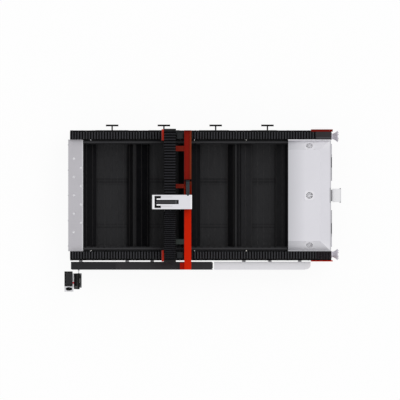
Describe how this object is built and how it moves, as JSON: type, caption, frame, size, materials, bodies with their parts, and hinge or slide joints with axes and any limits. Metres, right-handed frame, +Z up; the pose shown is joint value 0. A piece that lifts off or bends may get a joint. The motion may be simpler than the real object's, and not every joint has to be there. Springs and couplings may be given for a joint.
{
  "type": "fiber laser cutting machine",
  "caption": "Open-bed gantry machine that cuts flat sheet metal with a fiber laser head; slatted bed, folding way covers, slag drawers and an operator's console.",
  "frame": {"origin": "middle of the footprint, on the floor", "axes": "+X along the bed to the fume end, +Y to the drawer side, +Z up"},
  "size_m": [4.706, 2.845, 1.5],
  "materials": {
    "frame_paint": "satin black-grey enamel",
    "rail_steel": "ground",
    "black_plate": "sooty black",
    "slat_steel": "hot-rolled, scorched",
    "ledge_paint": "worn dark paint",
    "plate_grey": "light grey powder coat",
    "chrome_ball": "polished",
    "bellows_cloth": "coated cloth",
    "cover_grey": "light grey powder coat",
    "red_paint": "red enamel",
    "white_paint": "white powder coat",
    "duct_grey": "light grey powder coat",
    "aluminium": "satin",
    "motor_grey": "cast, dark grey",
    "chain_plastic": "moulded",
    "console_paint": "pale grey",
    "black_plastic": "moulded",
    "button_red": "glossy",
    "cap_plastic": "moulded",
    "trough_black": "black powder coat",
    "drawer_paint": "worn dark enamel",
    "gear_steel": "machined"
  },
  "bodies": {
    "bed": {"levelling_feet": "gear_steel", "bed_legs": "frame_paint", "lower_frame": "frame_paint", "bed_beams": "frame_paint", "x_rails": "rail_steel", "divider_bars": "ledge_paint", "bed_liners": "black_plate", "cutting_slats": "slat_steel", "sheet_ledges": "ledge_paint", "hopper_plates": "black_plate", "loading_plate": "plate_grey", "ball_cups": "chrome_ball", "transfer_balls": "chrome_ball", "x_bellows_left": "bellows_cloth", "x_bellows_right": "bellows_cloth", "rail_covers": "black_plate", "end_trims": "red_paint", "end_cover": "cover_grey", "laser_source": "plate_grey", "fan_guards": "cover_grey", "fan_frames": "black_plastic", "fume_duct": "duct_grey", "lifting_bollards": "cover_grey", "x_cable_chain": "chain_plastic", "chain_trough_left": "trough_black", "chain_trough_right": "cover_grey", "console_post": "console_paint", "keyboard": "black_plastic", "mouse": "black_plastic"},
    "gantry": {"gantry_carriages": "motor_grey", "bellows_flanges": "red_paint", "x_servo_motors": "motor_grey", "gantry_beam": "aluminium", "beam_end_caps": "cap_plastic", "gantry_channel": "red_paint", "sensor_box": "motor_grey", "y_cable_chain": "chain_plastic", "x_chain_arm": "red_paint", "y_bellows": "bellows_cloth"},
    "x_pinion_front": {"x_pinion_front": "gear_steel"},
    "x_pinion_rear": {"x_pinion_rear": "gear_steel"},
    "carriage": {"y_carriage": "aluminium", "head_servo_motors": "motor_grey", "head_cover": "white_paint", "head_manifold": "aluminium"},
    "y_pinion": {"y_pinion": "gear_steel"},
    "z_screw": {"z_screw": "gear_steel"},
    "z_slide": {"z_slide": "aluminium", "cutting_head": "aluminium"},
    "fan_rotor_front": {"fan_rotor_front": "black_plastic"},
    "fan_rotor_middle": {"fan_rotor_middle": "black_plastic"},
    "fan_rotor_rear": {"fan_rotor_rear": "black_plastic"},
    "service_door_rear": {"service_door_rear": "cover_grey"},
    "service_door_front": {"service_door_front": "cover_grey"},
    "monitor": {"monitor": "black_plastic"},
    "stop_button": {"stop_button": "button_red"},
    "slag_drawer_1": {"slag_drawer_1": "drawer_paint"},
    "slag_drawer_2": {"slag_drawer_2": "drawer_paint"},
    "slag_drawer_3": {"slag_drawer_3": "drawer_paint"},
    "slag_drawer_4": {"slag_drawer_4": "drawer_paint"}
  },
  "joints": [
    {"name": "gantry_travel", "type": "slide", "parent": "bed", "child": "gantry", "axis": [1, 0, 0], "range_m": [-1.09, 1.95], "deforming": ["x_bellows_left", "x_bellows_right", "x_cable_chain"]},
    {"name": "carriage_travel", "type": "slide", "parent": "gantry", "child": "carriage", "axis": [0, 1, 0], "range_m": [-0.638, 0.862], "deforming": ["y_bellows", "y_cable_chain"]},
    {"name": "head_lift", "type": "slide", "parent": "carriage", "child": "z_slide", "axis": [0, 0, 1], "range_m": [-0.044, 0.1]},
    {"name": "x_pinion_front_spin", "type": "hinge", "parent": "gantry", "child": "x_pinion_front", "pos_m": [-0.391, -0.8005, 0.79], "axis": [0, 0, 1], "continuous": true},
    {"name": "x_pinion_rear_spin", "type": "hinge", "parent": "gantry", "child": "x_pinion_rear", "pos_m": [-0.391, 1.2235, 0.79], "axis": [0, 0, 1], "continuous": true},
    {"name": "y_pinion_spin", "type": "hinge", "parent": "carriage", "child": "y_pinion", "pos_m": [-0.4389, 0.0995, 1.14], "axis": [0, 0, 1], "continuous": true},
    {"name": "z_screw_spin", "type": "hinge", "parent": "carriage", "child": "z_screw", "pos_m": [-0.7, 0.0995, 1.2], "axis": [0, 0, 1], "continuous": true},
    {"name": "fan_front_spin", "type": "hinge", "parent": "bed", "child": "fan_rotor_front", "pos_m": [1.809, -0.6305, 0.88731], "axis": [0, -0.6508, 0.7593], "continuous": true},
    {"name": "fan_middle_spin", "type": "hinge", "parent": "bed", "child": "fan_rotor_middle", "pos_m": [1.809, 0.2115, 0.945], "axis": [0, 0, 1], "continuous": true},
    {"name": "fan_rear_spin", "type": "hinge", "parent": "bed", "child": "fan_rotor_rear", "pos_m": [1.809, 1.0535, 0.88731], "axis": [0, 0.6508, 0.7593], "continuous": true},
    {"name": "service_door_rear_swing", "type": "hinge", "parent": "bed", "child": "service_door_rear", "pos_m": [2.187, 0.7745, 0.69], "axis": [0, -1, 0], "range_deg": [0, 100]},
    {"name": "service_door_front_swing", "type": "hinge", "parent": "bed", "child": "service_door_front", "pos_m": [2.187, -0.3515, 0.69], "axis": [0, -1, 0], "range_deg": [0, 100]},
    {"name": "monitor_tilt", "type": "hinge", "parent": "bed", "child": "monitor", "pos_m": [-2.136, -1.2455, 1.06], "axis": [0, 1, 0], "range_deg": [-10, 10]},
    {"name": "stop_button_press", "type": "slide", "parent": "bed", "child": "stop_button", "axis": [0, 0, -1], "range_m": [0, 0.006]},
    {"name": "slag_drawer_1_pull", "type": "slide", "parent": "bed", "child": "slag_drawer_1", "axis": [0, 1, 0], "range_m": [0, 1.2]},
    {"name": "slag_drawer_2_pull", "type": "slide", "parent": "bed", "child": "slag_drawer_2", "axis": [0, 1, 0], "range_m": [0, 1.2]},
    {"name": "slag_drawer_3_pull", "type": "slide", "parent": "bed", "child": "slag_drawer_3", "axis": [0, 1, 0], "range_m": [0, 1.2]},
    {"name": "slag_drawer_4_pull", "type": "slide", "parent": "bed", "child": "slag_drawer_4", "axis": [0, 1, 0], "range_m": [0, 1.2]}
  ],
  "couplings": [
    {"joint": "x_pinion_front_spin", "follows": "gantry_travel", "rad_per_m": 41.667},
    {"joint": "x_pinion_rear_spin", "follows": "gantry_travel", "rad_per_m": -41.667},
    {"joint": "y_pinion_spin", "follows": "carriage_travel", "rad_per_m": 41.667},
    {"joint": "z_screw_spin", "follows": "head_lift", "rad_per_m": 628.32}
  ]
}
